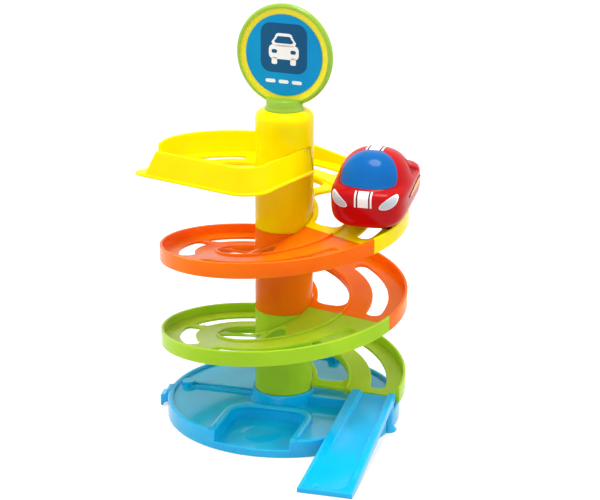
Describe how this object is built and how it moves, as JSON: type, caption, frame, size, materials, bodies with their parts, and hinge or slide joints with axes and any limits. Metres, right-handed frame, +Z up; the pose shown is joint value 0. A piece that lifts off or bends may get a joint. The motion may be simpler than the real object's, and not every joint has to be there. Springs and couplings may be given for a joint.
{
  "type": "toy spiral car ramp",
  "caption": "Toy tower with a round base and parking bay, a column with a descending spiral car track, a start deck, a round swivelling sign, an exit ramp and a wheeled toy car.",
  "frame": {"origin": "centre of the base's underside, on the column axis, where the toy stands on the ground", "axes": "+Z up along the column; -Y towards the side where the parking bay opens and the exit ramp runs down; +X to the right"},
  "size_m": [0.2289, 0.2647, 0.3645],
  "materials": {
    "blue_plastic": "glossy moulded plastic, sky blue",
    "lime_plastic": "glossy moulded plastic, lime green",
    "orange_plastic": "glossy moulded plastic, orange",
    "yellow_plastic": "glossy moulded plastic, yellow",
    "clear_lime_plastic": "translucent lime plastic",
    "blue_print": "printed blue label",
    "red_plastic": "glossy red plastic",
    "grey_plastic": "grey moulded plastic",
    "screen_plastic": "glossy blue plastic dome",
    "silver_print": "silver printed sticker",
    "white_print": "white printed sticker",
    "side_print": "amber printed sticker",
    "steel": "plain steel",
    "black_plastic": "dark grey moulded plastic"
  },
  "bodies": {
    "tower": {"base": "blue_plastic", "exit_ramp": "blue_plastic", "lower_column": "lime_plastic", "middle_column": "orange_plastic", "upper_column": "yellow_plastic", "lower_track": "lime_plastic", "middle_track": "orange_plastic", "upper_track": "yellow_plastic", "start_deck": "yellow_plastic"},
    "sign": {"sign_panel": "clear_lime_plastic", "sign_label_front": "blue_print", "sign_label_back": "blue_print"},
    "car": {"car_shell": "red_plastic", "car_chassis": "grey_plastic", "car_windshield": "screen_plastic", "car_headlights": "silver_print", "car_hood_stripes": "white_print", "car_roof_stripes": "white_print", "car_side_stickers": "side_print", "chassis_screws": "steel"},
    "front_wheels": {"front_axle": "steel", "front_left_wheel": "black_plastic", "front_right_wheel": "black_plastic"},
    "rear_wheels": {"rear_axle": "steel", "rear_left_wheel": "black_plastic", "rear_right_wheel": "black_plastic"}
  },
  "joints": [
    {"name": "sign_swivel", "type": "hinge", "parent": "tower", "child": "sign", "pos_m": [0, 0, 0.275], "axis": [0, 0, 1], "continuous": true},
    {"name": "car_run", "type": "hinge", "parent": "tower", "child": "car", "pos_m": [-0.00186, 0, 0.18338], "axis": [0, 0.1503, -0.9886], "range_deg": [-12, 12]},
    {"name": "front_wheel_roll", "type": "hinge", "parent": "car", "child": "front_wheels", "pos_m": [0.08025, -0.01623, 0.19032], "axis": [1, 0, 0], "range_deg": [-127, 127]},
    {"name": "rear_wheel_roll", "type": "hinge", "parent": "car", "child": "rear_wheels", "pos_m": [0.08025, 0.01343, 0.19482], "axis": [1, 0, 0], "range_deg": [-127, 127]}
  ],
  "couplings": [
    {"joint": "front_wheel_roll", "follows": "car_run", "ratio": 10.263},
    {"joint": "rear_wheel_roll", "follows": "car_run", "ratio": 10.263}
  ]
}
